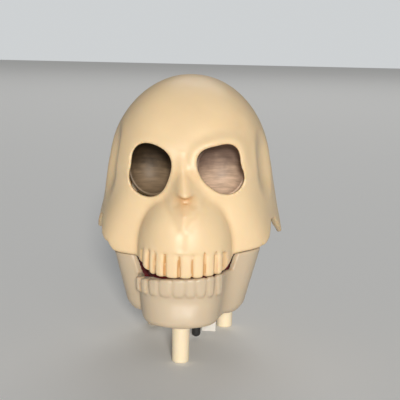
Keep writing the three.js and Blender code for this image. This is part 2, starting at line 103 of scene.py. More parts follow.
FLOOR_HALF = 3   # metres
floor_mesh = bpy.data.meshes.new("floor")
corners = [(sx * FLOOR_HALF, sy * FLOOR_HALF, 0) for sx, sy in ((-1, -1), (1, -1), (1, 1), (-1, 1))]
floor_mesh.from_pydata(corners, [], [(0, 1, 2, 3)])
floor = bpy.data.objects.new("floor", floor_mesh)
bpy.context.scene.collection.objects.link(floor)
floor_material = bpy.data.materials.new("pale_floor")
floor_material.use_nodes = True
floor_shader = floor_material.node_tree.nodes["Principled BSDF"]
floor_shader.inputs["Base Color"].default_value = (0.86, 0.86, 0.85, 1)
floor_shader.inputs["Roughness"].default_value = 0.7
floor_mesh.materials.append(floor_material)

# Skull shell: one thin moulding of ivory styrene, open at the back, with the brain case, brow,
# nose bone, cheeks, muzzle and upper teeth. Its form is a blend of simple rounded volumes,
# hollowed to an even wall, and meshed on a fine grid. Sizes in millimetres until the mesh is made.
BACK_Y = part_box("skull_shell")[1][1] * 1000   # the open rear plane
SHIFT_Y = BACK_Y - 22                         # the volumes below are placed with that plane at 22
SHELL_WALL = 1.8
BROW_Z = 46      # the brain case is stretched below this height
SCREW_HOLE = 0.85
SKULL_STEP = 0.46   # grid of the mesh
EYES = (
    # middle of the opening, height of the ridge over it, then the opening's radius round the
    # turn as waves: the level, then pairs of cos and sin
    {"x": -9.0, "z": 48.5, "brow": 0.06,
     "waves": (6.11, -0.06, 0.04, -0.74, 0.24, 0.21, 0.05, -0.1, 0.18, 0.01, -0.04)},
    {"x": 8.8, "z": 49.0, "brow": 0.42,
     "waves": (5.99, 0.19, 0.28, -0.28, -0.59, -0.36, 0.01, -0.18, -0.18, 0.09, -0.08)},
)


def ease(t):
    """A smooth step from 0 to 1 as t goes from 0 to 1."""
    t = np.clip(t, 0, 1)
    return t * t * (3 - 2 * t)


def blended(a, b, reach):
    """Union of two distance fields with a fillet of about this reach."""
    h = np.maximum(reach - np.abs(a - b), 0) / reach
    return np.minimum(a, b) - h * h * reach * 0.25


def carved(a, b, reach):
    """a with b taken away, the edge eased by about this reach."""
    return -blended(-a, b, reach)


def round_block(x, y, z, a, b, c, power):
    """Distance-like field of a block of half sizes a, b, c: power 2 is an ellipsoid, more is squarer."""
    g = (np.abs(x / a) ** power + np.abs(y / b) ** power + np.abs(z / c) ** power) ** (1 / power)
    return np.sqrt(x * x + y * y + z * z) * (1 - 1 / np.maximum(g, 1e-6))


def brain_case(x, y, z):
    """Round from the side and from the front, but squarer seen from above; flatter below the brow."""
    reach = 28.5 - 4 * ease((3.5 - z) / 7)
    plan = (np.abs(x / 21.9) ** 2.6 + np.abs(y / reach) ** 2.6) ** (1 / 2.6)
    g = np.sqrt(plan * plan + (z / 25.7) ** 2)
    return np.sqrt(x * x + y * y + z * z) * (1 - 1 / np.maximum(g, 1e-6))


def bump(distance, width):
    """1 on a line, falling off to nothing within about two widths of it."""
    return np.exp(-((distance / width) ** 2))


def eye_edge(x, z, eye):
    """Distance to the rim of an eye opening in the front view, less than 0 inside it."""
    turn = np.arctan2(z - eye["z"], x - eye["x"])
    radius = eye["waves"][0] + 0 * turn
    for k in range(1, 6):
        radius = radius + eye["waves"][2 * k - 1] * np.cos(k * turn) + eye["waves"][2 * k] * np.sin(k * turn)
    return np.hypot(x - eye["x"], z - eye["z"]) - radius


def line_gap(x, z, a, b):
    """Distance in the front view to the line from a to b."""
    dx, dz = b[0] - a[0], b[1] - a[1]
    t = np.clip(((x - a[0]) * dx + (z - a[1]) * dz) / (dx * dx + dz * dz), 0, 1)
    return np.hypot(x - a[0] - t * dx, z - a[1] - t * dz)


def nose_bone(x, y, z):
    """A narrow ridge, further out lower down and ended by a blunt tip, on wide flanks that run
    into the muzzle."""
    drop = np.clip(51.5 - z, 0, 12)
    m = np.abs(x + 0.9 - 0.14 * drop)

    def wedge(line_y, flat, foot, soft):
        depth = np.maximum(-12.5 - line_y, 0.5)
        side = ((m - flat) * depth - (y - line_y) * (foot - flat)) / np.hypot(depth, foot - flat)
        return -blended((y - line_y) * 0.86, -side, soft)

    ridge = wedge(-14.7 - 0.47 * (51 - z), 0.2 + 0.14 * drop, 1.2 + 0.33 * drop, 1.4)
    under = 41.3 - z + 0.45 * (y + 20.5)
    ridge = -blended(-ridge, -under, 1.2)
    flanks = wedge(np.maximum(-13.4 - 0.42 * (51 - z), -18.8), 0.3 + 0.2 * drop, 1.2 + 0.52 * drop, 1.8)
    return np.maximum(np.maximum(blended(ridge, flanks, 1.2), z - 53), y + 9)


FACE_LINES = (
    # raised (+) or sunk (-) lines on the front of the face: height, half width, points (x, z)
    (0.45, 1.6, ((0.4, 39.8), (0.4, 38.4))),
    (0.25, 0.9, ((0.4, 38.4), (0.2, 35.6))),
    (-0.3, 1.2, ((-5.2, 41.4), (-1.4, 35.2))),
    (-0.3, 1.2, ((5.6, 41.7), (1.7, 35.6))),
    (-0.25, 1.1, ((0.1, 33.4), (-0.1, 30.6))),
    (-0.25, 1.8, ((-3.0, 51.8), (-0.2, 52.4))),
    (-0.35, 2.0, ((3.0, 56.6), (7.8, 58.8), (12.5, 59.2))),
)


def head_outside(x, y, z):
    """The head's outer surface, before the teeth and the openings: parts are blended on in turn."""
    m = np.abs(x)
    upper = np.where(z > BROW_Z, z - BROW_Z, (z - BROW_Z) * 0.25)
    # the brain case, flared outwards at the lower back
    flare = 0.21 * np.maximum((50 - z) / 22, 0) ** 1.2 * ease((y + 10) / 32)
    d = brain_case((x + 0.3) / (1 + flare), y - 13.5, upper)
    # the flat face with its cheeks, which widen downwards and are set back beside the muzzle
    face_half = 16.9 + 0.13 * (54 - z) + 3.0 * ease((43 - z) / 14)
    reach = 20.2 - 1.7 * ease((46 - z) / 7) * ease((m - 4) / 6)
    middle = -0.4 + 0.6 * ease((z - 36) / 8)
    face = round_block(
        (x - middle) / face_half * 19, (y - 7) / reach * 20.2, (z - 38) * 0.8, 19, 20.2, 18, 3.4)
    d = blended(d, face, 2 + 2.5 * ease((44 - z) / 9))
    # the hollows of the temples, then the muzzle and the nose
    d = carved(d, round_block(m - 26, y + 1.5, z - 53, 8.3, 11.5, 16, 2), 1.4)
    muzzle_z = np.where(z < 29, (z - 29) * 0.4, z - 29)
    d = blended(d, round_block(x - 0.1, y + 8, muzzle_z, 12.2, 12.8, 14.5, 2.2), 0.8)
    d = blended(d, nose_bone(x, y, z), 1.4)
    # ridges over the eyes and the fine lines of the face
    front = ease((2 - y) / 6)
    for eye in EYES:
        edge = eye_edge(x, z, eye)
        d = d - front * bump(edge - 1.3, 1.2) * eye["brow"] * ease((z - eye["z"] + 2) / 6)
    for height, width, points in FACE_LINES:
        gap = line_gap(x, z, points[0], points[1])
        for a, b in zip(points[1:], points[2:]):
            gap = np.minimum(gap, line_gap(x, z, a, b))
        d = d - front * height * bump(gap, width)
    return d


RIM_FRONT = (
    # lower rim across the front, from cheek to cheek by way of the teeth: (x, z)
    (-20.6, 30.0), (-19.7, 28.0), (-18.5, 26.9), (-16.9, 26.6), (-12.6, 26.4), (-11.6, 26.0), (-10.4, 25.2),
    (-9.2, 24.4), (-7.5, 23.6), (-5.4, 23.2), (-2.2, 23.0), (1.2, 23.0), (4.1, 23.2), (6.9, 23.5),
    (9.3, 23.8), (10.3, 24.0), (11.7, 25.6), (12.5, 27.4), (14.1, 27.8), (19.2, 28.6), (20.4, 30.0), (21, 31.0),
)
RIM_ROUND = ((36, 28.6), (41, 30.2), (47, 34.4), (54, 34.2), (65, 31.0), (75, 28.8), (90, 27.3))


def rim_height(x, y):
    """Lower rim of the shell: teeth and cheeks by place, then the rise and the flares by turn."""
    turn = np.degrees(np.arctan2(np.abs(x), 22 - y))
    front = np.interp(x, *zip(*RIM_FRONT))
    back = np.interp(turn, *zip(*RIM_ROUND))
    share = ease((turn - 33) / 5)
    return front + (back - front) * share


# the line that the upper teeth stand on, seen from above
TOOTH_ARCH = {"y": -8.2, "half": 12.0, "reach": 12.0, "power": 2.3}
UPPER_TEETH = (
    # place on the arch, width
    (-9.35, 1.9), (-7.5, 1.6), (-5.5, 2.3), (-2.4, 3.3), (1.0, 3.1), (4.05, 2.7), (6.85, 2.5), (9.15, 1.8),
)
TOOTH_LOW, TOOTH_HIGH, GAP_HIGH = 22, 30.0, 29.6
UPPER_GAPS = (
    # place on the arch, width, depth
    (-10.5, 0.5, 0.9), (-8.35, 0.34, 1.2), (-6.7, 0.38, 1.2), (-4.2, 0.6, 0.75), (-0.65, 0.6, 0.7),
    (2.6, 0.4, 1.2), (5.5, 0.5, 1.0), (8.15, 0.42, 1.2), (10.2, 0.6, 0.8),
)


def arch_frame(x, y, place, inset):
    """Along and outward distances at a place on the tooth arch, this far inside its line."""
    across = abs(place) / TOOTH_ARCH["half"]
    power = TOOTH_ARCH["power"]
    base_y = TOOTH_ARCH["y"] - TOOTH_ARCH["reach"] * (1 - across ** power) ** (1 / power)
    turn = np.sign(place) * np.arctan(across ** (power - 1) / (1 - across ** power) ** 0.55)
    cx = place - sin(turn) * inset
    cy = base_y + cos(turn) * inset
    return (x - cx) * cos(turn) + (y - cy) * sin(turn), -(x - cx) * sin(turn) + (y - cy) * cos(turn)


def tooth_field(x, y, z, place, width, depth, low, high, inset):
    """One tooth standing on the arch, its face turned outward, with a rounded front."""
    u, w = arch_frame(x, y, place, inset)
    half = (high - low) / 2
    return round_block(u, w, z - (low + high) / 2, width / 2, depth / 2, half, 3.6)


def gap_field(x, y, z, place, width, depth, low, high):
    """The slot between two teeth, cut into the arch from outside and fading at its far end."""
    u, w = arch_frame(x, y, place, 0.0)
    return round_block(u, w + 0.2, z - low, width / 2, depth, high - low, 2.2)


SCREW_PLACES = ((17.6, 44.5), (18.6, 36.5))   # out from the middle, height: two lugs on each side


def box_field(x, y, z, low, high, corner):
    q = [np.abs(p - (a + b) / 2) - (b - a) / 2 + corner for p, a, b in zip((x, y, z), low, high)]
    outer = np.sqrt(sum(np.maximum(a, 0) ** 2 for a in q))
    return outer + np.minimum(np.maximum(np.maximum(q[0], q[1]), q[2]), 0) - corner


def skull_field(x, y, z):
    """The whole shell: an even wall that thins towards the rear rim, with a shallow step at the
    gums, the teeth and their gaps, the rims, the screw lugs, the eye openings and the nostril."""
    outside = head_outside(x, y, z)
    gum = 0.55 * ease((29.4 - z) / 0.9) * ease((-7 - y) / 3) * ease((11.2 - np.abs(x)) / 1.2)
    wall = SHELL_WALL - 0.8 * ease((y - 8) / 12) * ease((44 - z) / 10)
    shell = np.maximum(outside + gum, -(outside + wall))
    for place, width in UPPER_TEETH:
        shell = blended(shell, tooth_field(x, y, z, place, width, 2.4, TOOTH_LOW, TOOTH_HIGH, 0.75), 0.5)
    for place, width, depth in UPPER_GAPS:
        shell = carved(shell, gap_field(x, y, z, place, width, depth, TOOTH_LOW, GAP_HIGH), 0.3)
    shell = carved(shell, z - rim_height(x, y), 0.7)
    for side, lug_x, lug_z in ((s, lx, lz) for s in (-1, 1) for lx, lz in SCREW_PLACES):
        lug = box_field(side * x, y, z, (lug_x - 2.6, 7, lug_z - 2.6), (lug_x + 7, 15, lug_z + 2.6), 0.4)
        shell = blended(shell, np.maximum(lug, outside + SHELL_WALL / 2), 0.4)
        hole = np.maximum(np.hypot(side * x - lug_x, z - lug_z) - SCREW_HOLE, 8.5 - y)
        shell = np.maximum(shell, -hole)
    shell = carved(shell, 22 - y, 0.5)
    for eye in EYES:
        shell = carved(shell, np.maximum(eye_edge(x, z, eye), y + 0.5), 0.35)
    for side in (-1, 1):
        dimple = round_block(x - 0.3 - 2.8 * side, y + 18.2, z - 41.2, 0.7, 1.0, 0.5, 2)
        shell = carved(shell, dimple, 1.4)
    nostril = round_block(x - 0.5, y + 19.6, z - 41.3, 1.2, 2.2, 0.5, 2)
    return carved(shell, nostril, 0.4)


def net_mesh(name, field, low, high, step):
    """Closed quad mesh of a field's zero surface: one point in each crossed cell of a grid,
    moved onto the surface, and one face across each crossed edge. How hollow the surface is
    at each point goes in the attribute "cavity_shade", which the material uses to paint shade into the hollows."""
    axes = [np.arange(a, b + step, step) for a, b in zip(low, high)]
    shape = tuple(len(a) for a in axes)
    values = np.empty(shape)
    for k in range(shape[2]):
        values[:, :, k] = field(axes[0][:, None], axes[1][None, :], np.full((1, 1), axes[2][k]))
    inside = values < 0
    cells = tuple(n - 1 for n in shape)
    total = np.zeros(cells + (3,))
    count = np.zeros(cells)
    grid = np.stack(np.meshgrid(*axes, indexing="ij"), -1)
    for axis in range(3):
        one = [slice(None)] * 3
        two = [slice(None)] * 3
        one[axis], two[axis] = slice(0, -1), slice(1, None)
        one, two = tuple(one), tuple(two)
        crossed = inside[one] != inside[two]
        t = values[one] / np.where(crossed, values[one] - values[two], 1)
        point = grid[one] + (grid[two] - grid[one]) * t[..., None]
        others = [a for a in range(3) if a != axis]
        for i in (0, 1):
            for j in (0, 1):
                part = [slice(None)] * 3
                part[others[0]] = slice(i, shape[others[0]] - 1 + i)
                part[others[1]] = slice(j, shape[others[1]] - 1 + j)
                part = tuple(part)
                total += np.where(crossed[part][..., None], point[part], 0)
                count += crossed[part]
    used = count > 0
    number = np.full(cells, -1)
    number[used] = np.arange(used.sum())
    points = total[used] / count[used][:, None]
    faces = []
    for axis in range(3):
        b, c = (axis + 1) % 3, (axis + 2) % 3
        one = [slice(1, -1)] * 3
        two = [slice(1, -1)] * 3
        one[axis], two[axis] = slice(0, -1), slice(1, None)
        crossed = inside[tuple(one)] != inside[tuple(two)]
        where = np.argwhere(crossed)
        where[:, b] += 1
        where[:, c] += 1
        start_inside = inside[where[:, 0], where[:, 1], where[:, 2]]
        corners = []
        for db, dc in ((-1, -1), (0, -1), (0, 0), (-1, 0)):
            cell = where.copy()
            cell[:, b] += db
            cell[:, c] += dc
            corners.append(number[cell[:, 0], cell[:, 1], cell[:, 2]])
        quads = np.stack(corners, -1)
        quads[~start_inside] = quads[~start_inside][:, ::-1]
        faces.append(quads)
    faces = np.concatenate(faces)
    tiny = step * 0.05
    for _ in range(3):
        value = field(*points.T)
        slope = np.stack([
            field(*(points + step_on).T) - field(*(points - step_on).T) for step_on in tiny * np.eye(3)
        ], -1) / (2 * tiny)
        move = -value[:, None] * slope / np.maximum((slope ** 2).sum(-1, keepdims=True), 0.2)
        points += np.clip(move, -step * 0.4, step * 0.4)
    slope /= np.linalg.norm(slope, axis=1, keepdims=True)
    # how hollow each point is, for the painted shade in the material
    hollow = np.zeros(len(points))
    for reach in (0.7, 2.2):
        hollow += np.clip(1 - field(*(points + reach * slope).T) / reach, 0, 1)
    points[:, 1] += SHIFT_Y
    mesh = bpy.data.meshes.new(name)
    mesh.from_pydata((points / 1000).tolist(), [], faces.tolist())
    mesh.attributes.new("cavity_shade", "FLOAT", "POINT").data.foreach_set("value", hollow.astype(np.float32))
    mesh.shade_smooth()
    obj = bpy.data.objects.new(name, mesh)
    bpy.context.scene.collection.objects.link(obj)
    return obj


skull = net_mesh("skull", skull_field, (-28, -23, 21.5), (28, 23.5, 73), SKULL_STEP)


def new_material(name):
    """A material with its node tree, its Principled shader and a short way to add nodes."""
    material = bpy.data.materials.new(name)
    material.use_nodes = True
    tree = material.node_tree
    return material, tree, tree.nodes["Principled BSDF"]


def add_node(tree, kind, **values):
    """Adds a node: a value for an input is given by the input's name with _ for a space."""
    node = tree.nodes.new(kind)
    for key, value in values.items():
        label = key.replace("_", " ")
        if label in node.inputs:
            node.inputs[label].default_value = value
        else:
            setattr(node, key, value)
    return node


def moulded_surface_group():
    """Moulded plastic: faint mottling from the melt, painted shade that darkens its hollows, fine flow texture.
    """
    tree = bpy.data.node_groups.new("moulded_surface", "ShaderNodeTree")
    for label, kind, value in (
        ("Colour", "NodeSocketColor", (0.8, 0.7, 0.5, 1)),
        # the colour and strength of the painted shade in hollows
        ("Painted Shade Colour", "NodeSocketColor", (0.6, 0.3, 0.1, 1)),
        ("Painted Shade Amount", "NodeSocketFloat", 0.6), ("Mottle", "NodeSocketFloat", 0.05),
        ("Roughness", "NodeSocketFloat", 0.4), ("Roughness Spread", "NodeSocketFloat", 0.1),
        ("Flow Depth", "NodeSocketFloat", 0.1),
    ):
        socket = tree.interface.new_socket(label, in_out="INPUT", socket_type=kind)
        socket.default_value = value
    for label, kind in (("Colour", "NodeSocketColor"), ("Roughness", "NodeSocketFloat"),
                        ("Normal", "NodeSocketVector")):
        tree.interface.new_socket(label, in_out="OUTPUT", socket_type=kind)
    given = tree.nodes.new("NodeGroupInput")
    result = tree.nodes.new("NodeGroupOutput")
    place = tree.nodes.new("ShaderNodeTexCoord").outputs["Object"]
    link = tree.links.new
    cloud = add_node(tree, "ShaderNodeTexNoise", Scale=90.0, Detail=3.0, Roughness=0.55)
    grain = add_node(tree, "ShaderNodeTexNoise", Scale=900.0, Detail=2.0, Roughness=0.6)
    flow = add_node(tree, "ShaderNodeTexNoise", Scale=260.0, Detail=4.0, Roughness=0.6)
    for noise in (cloud, grain, flow):
        link(place, noise.inputs["Vector"])
    # painted shade: the shade colour is mixed in where the mesh is hollow
    cavity_shade = add_node(tree, "ShaderNodeAttribute", attribute_name="cavity_shade")
    amount = add_node(tree, "ShaderNodeMath", operation="MULTIPLY", use_clamp=True)
    link(cavity_shade.outputs["Fac"], amount.inputs[0])
    link(given.outputs["Painted Shade Amount"], amount.inputs[1])
    shade = add_node(tree, "ShaderNodeMapRange", From_Min=0.3, From_Max=0.7)
    link(cloud.outputs["Fac"], shade.inputs["Value"])
    dim = add_node(tree, "ShaderNodeMath", operation="MULTIPLY_ADD")
    link(shade.outputs["Result"], dim.inputs[0])
    link(given.outputs["Mottle"], dim.inputs[1])
    less = add_node(tree, "ShaderNodeMath", operation="SUBTRACT")
    less.inputs[0].default_value = 1.0
    link(given.outputs["Mottle"], less.inputs[1])
    link(less.outputs[0], dim.inputs[2])
    mottled = add_node(tree, "ShaderNodeMix", data_type="RGBA", blend_type="MULTIPLY")
    mottled.inputs["Factor"].default_value = 1.0
    link(given.outputs["Colour"], mottled.inputs[6])
    link(dim.outputs[0], mottled.inputs[7])
    hollowed = add_node(tree, "ShaderNodeMix", data_type="RGBA")
    link(amount.outputs[0], hollowed.inputs["Factor"])
    link(mottled.outputs[2], hollowed.inputs[6])
    link(given.outputs["Painted Shade Colour"], hollowed.inputs[7])
    link(hollowed.outputs[2], result.inputs["Colour"])
    rough = add_node(tree, "ShaderNodeMath", operation="MULTIPLY_ADD")
    centred = add_node(tree, "ShaderNodeMapRange", From_Min=0.3, From_Max=0.7, To_Min=-1.0, To_Max=1.0)
    link(flow.outputs["Fac"], centred.inputs["Value"])
    link(centred.outputs["Result"], rough.inputs[0])
    link(given.outputs["Roughness Spread"], rough.inputs[1])
    link(given.outputs["Roughness"], rough.inputs[2])
    link(rough.outputs[0], result.inputs["Roughness"])
    height = add_node(tree, "ShaderNodeMath", operation="MULTIPLY_ADD")
    height.inputs[1].default_value = 0.3
    link(grain.outputs["Fac"], height.inputs[0])
    link(flow.outputs["Fac"], height.inputs[2])
    relief = add_node(tree, "ShaderNodeBump", Distance=0.0002)
    link(height.outputs[0], relief.inputs["Height"])
    link(given.outputs["Flow Depth"], relief.inputs["Strength"])
    link(relief.outputs["Normal"], result.inputs["Normal"])
    return tree


MOULDED = moulded_surface_group()


def moulded_plastic(name, colour, hollow, amount, mottle, roughness, spread, flow, subsurface):
    """Opaque to faintly translucent plastic on the shared moulded surface, with painted shade of the colour
    hollow, as strong as amount, in its hollows.
    """
    material, tree, shader = new_material(name)
    group = tree.nodes.new("ShaderNodeGroup")
    group.node_tree = MOULDED
    for label, value in (("Colour", (*colour, 1)), ("Painted Shade Colour", (*hollow, 1)), ("Painted Shade Amount", amount),
                         ("Mottle", mottle), ("Roughness", roughness), ("Roughness Spread", spread),
                         ("Flow Depth", flow)):
        group.inputs[label].default_value = value
    tree.links.new(group.outputs["Colour"], shader.inputs["Base Color"])
    tree.links.new(group.outputs["Roughness"], shader.inputs["Roughness"])
    tree.links.new(group.outputs["Normal"], shader.inputs["Normal"])
    shader.inputs["Subsurface Weight"].default_value = subsurface
    shader.inputs["Subsurface Radius"].default_value = (1.0, 0.55, 0.25)
    shader.inputs["Subsurface Scale"].default_value = 0.0012
    shader.inputs["IOR"].default_value = 1.52
    return material


# the skull's ivory; the second colour is painted shade for the hollows of the face
ivory = moulded_plastic(
    "skull_ivory", (0.84, 0.64, 0.39), (0.60, 0.33, 0.13), 0.6, 0.06, 0.44, 0.06, 0.12, 0.25)
skull.data.materials.append(ivory)
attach(skull, "head")
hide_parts("skull_shell")


# Lower jaw: a second moulding in a paler, greyer ivory, its colour darkened as painted shade. A thin U-shaped
# wall makes the chin and the two set-back rami; nine teeth stand on it, and inside it has two arms with pin
# holes and a bar between them.
JAW_WALL = 1.7
JAW_STEP = 0.34
JAW_BACK = 118           # how far round from the front the wall reaches, in degrees
PIVOT = (1.0, 31.5)      # y, z of the pins
PIN_HOLE = 1.2
LOWER_EDGE = (
    # biting edge: x, z
    (-11, 21.9), (-9, 22.0), (-6, 22.4), (-2, 22.7), (1.2, 22.8), (4.1, 23.0), (6.9, 23.3), (10.3, 23.6),
)
LOWER_TEETH = (
    # place on the arch, width
    (-11.0, 1.5), (-9.35, 2.0), (-6.9, 2.5), (-3.95, 3.1), (-0.7, 3.0), (2.2, 2.5), (4.75, 2.4),
    (7.0, 1.9), (9.1, 2.1),
)


def jaw_outside(x, y, z):
    """The jaw's outer surface: the round chin blended into the wider rami behind it."""
    rise = (z - 10) / 15.5
    chin_reach = 11.7 - 0.9 * bump(z - 16.6, 2.6) - 0.8 * np.maximum(12 - z, 0) ** 2 / 6
    chin = round_block(x + 0.5, (y + 9) * 11.6 / chin_reach, 0 * z, 9.9 + 1.8 * rise, 11.6, 1, 2.5)
    ramus_half = 14.6 + 4.2 * rise - 0.3 * np.maximum(13.5 - z, 0) ** 1.5
    ramus = round_block(x, np.where(y < 0, y, y * 0.35), 0 * z, ramus_half, 10.5, 1, 3)
    return blended(chin, ramus, 0.8 + 3.5 * ease((x + 4) / 12))


def jaw_field(x, y, z):
    """The whole jaw: the wall between its foot and its upper edge, the teeth, the parts inside."""
    outside = jaw_outside(x, y, z)
    turn = np.degrees(np.arctan2(np.abs(x), -y))
    foot = np.interp(turn, (0, 28, 48, 64, 96, 108, JAW_BACK), (9.9, 10.3, 11.4, 10.8, 10.2, 12.5, 17))
    edge = np.interp(x, *zip(*LOWER_EDGE))
    ramus_share = ease((turn - 51) / 6)
    ramus_top = np.interp(x, (-14, 12, 19), (26.2, 27.2, 28.1)) - 1.4 * ease((y + 4) / 5)
    top = edge - 0.35 + (ramus_top - edge + 0.35) * ramus_share
    wall = np.maximum(outside, -(outside + JAW_WALL - 0.4 * ease((-7 - y) / 3)))
    wall = carved(carved(wall, z - foot, 1.4), top - z, 0.5)
    wall = np.maximum(wall, (turn - JAW_BACK) * 0.2)
    for place, width in LOWER_TEETH:
        tooth = tooth_field(x + 0.5, y, z, place + 0.5, width + 0.15, 2.4, 18.1, 24.6, 0.5)
        wall = blended(wall, carved(tooth, edge - z, 0.5), 0.45)
    # the arms with the eyes for the pins, their webs, and the bar that joins them
    m = np.abs(x)
    arm = box_field(m, y, z, (15, -2.2, 19.6), (16.6, 5.2, 32.4), 0.3)
    arm = np.minimum(arm, box_field(m, y, z, (15, 1, 25), (16.6, 8.3, 29.3), 0.3))
    eye = np.maximum(np.hypot(y - PIVOT[0], z - PIVOT[1]) - 3.2, np.abs(m - 15.8) - 0.8)
    web = box_field(m, y, z, (15, -2.4, 19.6), (16.9, 5, 23.5), 0.2)
    bar = box_field(x, y, z, (-15.6, 5, 26.5), (15.6, 8.3, 29.3), 0.4)
    inner = np.minimum(np.minimum(blended(arm, eye, 0.5), web), bar)
    whole = blended(wall, inner, 0.5)
    # thinned inside the chin, so that it swings clear of the deck's front edge
    thinned = box_field(x, y, z, (-7.6, -18.6, 17.4), (8.2, 0, 26), 0.4)
    whole = carved(whole, np.maximum(thinned, outside + 1.0), 0.3)
    pin = np.maximum(np.hypot(y - PIVOT[0], z - PIVOT[1]) - PIN_HOLE, 14 - m)
    screw = np.maximum(np.hypot(x - 5.9, z - 27.9) - SCREW_HOLE, 5.6 - y)
    return np.maximum(whole, -np.minimum(pin, screw))


jaw = net_mesh("jaw", jaw_field, (-20.5, -22, 8.8), (20.5, 10.5, 35.5), JAW_STEP)
# a greyer ivory made darker as painted shade; the second colour is painted shade for its hollows
jaw.data.materials.append(moulded_plastic(
    "jaw_ivory", (0.60, 0.485, 0.345), (0.43, 0.27, 0.14), 0.5, 0.05, 0.46, 0.06, 0.12, 0.25))
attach(jaw, "jaw")
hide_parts("lower_jaw")


# Eye cups: glossy painted bowls, a little taller than wide, pushed by a stem through the eye
# carrier from the front. The left one is dark brown; the right one a mauve grey. On both, painted
# shade darkens the top of the bowl and painted light makes the lower part paler.
# top is the colour under the painted shade at the top of each bowl, bottom the colour of the painted light
# lower down
EYE_CUPS = (
    {"name": "left", "x": -8.7, "z": 48.8, "side": -1,
     "top": (0.032, 0.019, 0.008), "bottom": (0.20, 0.14, 0.085)},
    {"name": "right", "x": 8.8, "z": 48.7, "side": 1,
     "top": (0.17, 0.115, 0.09), "bottom": (0.56, 0.41, 0.30)},
)


def new_piece(name, points, faces, body, nodes, material):
    """A finished piece from points in millimetres, with its body, CAD nodes and material."""
    mesh = bpy.data.meshes.new(name)
    shifted = [(px / 1000, (py + SHIFT_Y) / 1000, pz / 1000) for px, py, pz in points]
    mesh.from_pydata(shifted, [], faces)
    mesh.shade_smooth()
    mesh.set_sharp_from_angle(angle=radians(38))
    mesh.materials.append(material)
    piece = bpy.data.objects.new(name, mesh)
    bpy.context.scene.collection.objects.link(piece)
    settle(piece, body, nodes)


def settle(piece, body, nodes):
    """Puts a piece on its body, in place of its CAD nodes."""
    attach(piece, body)
    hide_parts(*nodes)


def turned_shape(profile, steps, base, along, ring=False):
    """Points and faces of a profile (radius, height) turned about a line. A ring's profile is
    closed and keeps off the line."""
    axis = Vector(along).normalized()
    side = axis.orthogonal().normalized()
    third = axis.cross(side)
    points, rows = [], []
    for radius, height in profile:
        centre = Vector(base) + axis * height
        if radius == 0:
            rows.append([len(points)] * steps)
            points.append(tuple(centre))
            continue
        rows.append([len(points) + i for i in range(steps)])
        for i in range(steps):
            a = 2 * pi * i / steps
            points.append(tuple(centre + (side * cos(a) + third * sin(a)) * radius))
    faces = []
    pairs = list(zip(rows, rows[1:])) + ([(rows[-1], rows[0])] if ring else [])
    for low, high in pairs:
        for i in range(steps):
            j = (i + 1) % steps
            corners = [low[i], low[j], high[j], high[i]]
            faces.append([c for n, c in enumerate(corners) if c != corners[n - 1]])
    return points, faces


def rounded_profile(profile, radius, count=4):
    """The profile with each inner corner cut by a small arc."""
    out = [profile[0]]
    for before, corner, after in zip(profile, profile[1:], profile[2:]):
        c, p, n = Vector(corner), Vector(before) - Vector(corner), Vector(after) - Vector(corner)
        cut = min(radius, p.length * 0.45, n.length * 0.45)
        start, end = c + p.normalized() * cut, c + n.normalized() * cut
        for k in range(count + 1):
            t = k / count
            out.append(tuple(start * (1 - t) ** 2 + c * 2 * t * (1 - t) + end * t * t))
    return out + [profile[-1]]


def cup_paint(cup):
    """Gloss paint with painted shade at the top that turns to painted light downwards, and level streaks that
    vary its colour, gloss and surface.
    """
    material, tree, shader = new_material(f"eye_paint_{cup['name']}")
    link = tree.links.new
    place = add_node(tree, "ShaderNodeTexCoord").outputs["Object"]
    parts = add_node(tree, "ShaderNodeSeparateXYZ")
    link(place, parts.inputs[0])
    streaks = add_node(tree, "ShaderNodeMapping")
    streaks.inputs["Scale"].default_value = (160, 160, 1500)
    streaks.inputs["Rotation"].default_value = (0, 0.12 * cup["side"], 0)
    link(place, streaks.inputs["Vector"])
    streak_noise = add_node(tree, "ShaderNodeTexNoise", Scale=1.0, Detail=4.0, Roughness=0.65)
    link(streaks.outputs["Vector"], streak_noise.inputs["Vector"])
    blotch = add_node(tree, "ShaderNodeTexNoise", Scale=330.0, Detail=2.0)
    link(place, blotch.inputs["Vector"])
    # painted shade over the top of the bowl, fading to painted light below its middle
    middle = cup["z"] / 1000
    fade = add_node(tree, "ShaderNodeMapRange", interpolation_type="SMOOTHSTEP",
                    From_Min=middle + 0.0035, From_Max=middle - 0.0045)
    lift = add_node(tree, "ShaderNodeMath", operation="MULTIPLY_ADD")
    link(blotch.outputs["Fac"], lift.inputs[0])
    lift.inputs[1].default_value = 0.006
    link(parts.outputs["Z"], lift.inputs[2])
    lower = add_node(tree, "ShaderNodeMath", operation="SUBTRACT")
    link(lift.outputs[0], lower.inputs[0])
    lower.inputs[1].default_value = 0.003
    link(lower.outputs[0], fade.inputs["Value"])
    shade = add_node(tree, "ShaderNodeMix", data_type="RGBA")
    shade.inputs[6].default_value = (*cup["top"], 1)
    shade.inputs[7].default_value = (*cup["bottom"], 1)
    link(fade.outputs["Result"], shade.inputs["Factor"])
    streak = add_node(tree, "ShaderNodeMapRange", From_Min=0.3, From_Max=0.7, To_Min=0.72, To_Max=1.25)
    link(streak_noise.outputs["Fac"], streak.inputs["Value"])
    painted = add_node(tree, "ShaderNodeMix", data_type="RGBA", blend_type="MULTIPLY")
    painted.inputs["Factor"].default_value = 1.0
    link(shade.outputs[2], painted.inputs[6])
    link(streak.outputs["Result"], painted.inputs[7])
    link(painted.outputs[2], shader.inputs["Base Color"])
    rough = add_node(tree, "ShaderNodeMapRange", From_Min=0.3, From_Max=0.7, To_Min=0.46, To_Max=0.62)
    link(streak_noise.outputs["Fac"], rough.inputs["Value"])
    link(rough.outputs["Result"], shader.inputs["Roughness"])
    relief = add_node(tree, "ShaderNodeBump", Distance=0.00004, Strength=0.6)
    link(streak_noise.outputs["Fac"], relief.inputs["Height"])
    link(relief.outputs["Normal"], shader.inputs["Normal"])
    shader.inputs["Specular IOR Level"].default_value = 0.4
    return material


